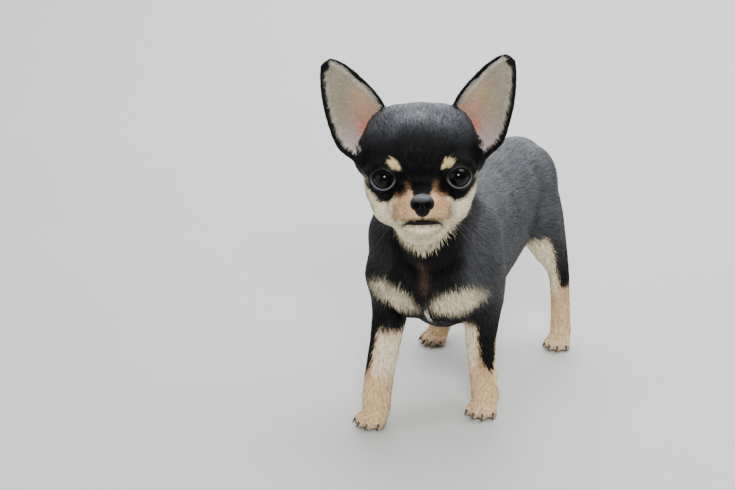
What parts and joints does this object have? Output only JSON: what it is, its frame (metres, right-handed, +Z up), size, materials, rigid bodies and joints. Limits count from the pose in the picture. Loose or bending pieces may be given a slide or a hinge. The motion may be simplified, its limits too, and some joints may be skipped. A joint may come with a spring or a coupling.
{
  "type": "dog figure",
  "caption": "Life-size still model of a young smooth-coated chihuahua, black and tan, standing on four paws with its head turned towards its left and its large ears up",
  "frame": {"origin": "On the ground, under the middle of the outer box", "axes": "+Z up, the dog faces -Y, its left side is towards +X"},
  "size_m": [0.1038, 0.2132, 0.2249],
  "materials": {
    "coat_black": "short flat coat",
    "coat_neck": "short flat coat",
    "coat_head": "short flat coat, black with tan and cream marks",
    "coat_tail": "short flat coat",
    "coat_foreleg_left": "short flat coat, tan with black above",
    "coat_foreleg_right": "short flat coat, tan with black above",
    "coat_hindleg_left": "short flat coat, tan with black above",
    "coat_hindleg_right": "short flat coat, tan with black above",
    "ear_skin_left": "thin skin, black short hair outside",
    "ear_skin_right": "thin skin, black short hair outside",
    "eye_glass_left": "wet gloss",
    "eye_glass_right": "wet gloss",
    "nose_leather": "moist, finely pebbled"
  },
  "bodies": {
    "root": {"torso": "coat_black", "neck": "coat_neck", "head": "coat_head", "tail": "coat_tail", "foreleg_left": "coat_foreleg_left", "foreleg_right": "coat_foreleg_right", "hindleg_left": "coat_hindleg_left", "hindleg_right": "coat_hindleg_right", "ear_left": "ear_skin_left", "ear_right": "ear_skin_right", "eye_left": "eye_glass_left", "eye_right": "eye_glass_right", "nose": "nose_leather"}
  },
  "joints": []
}
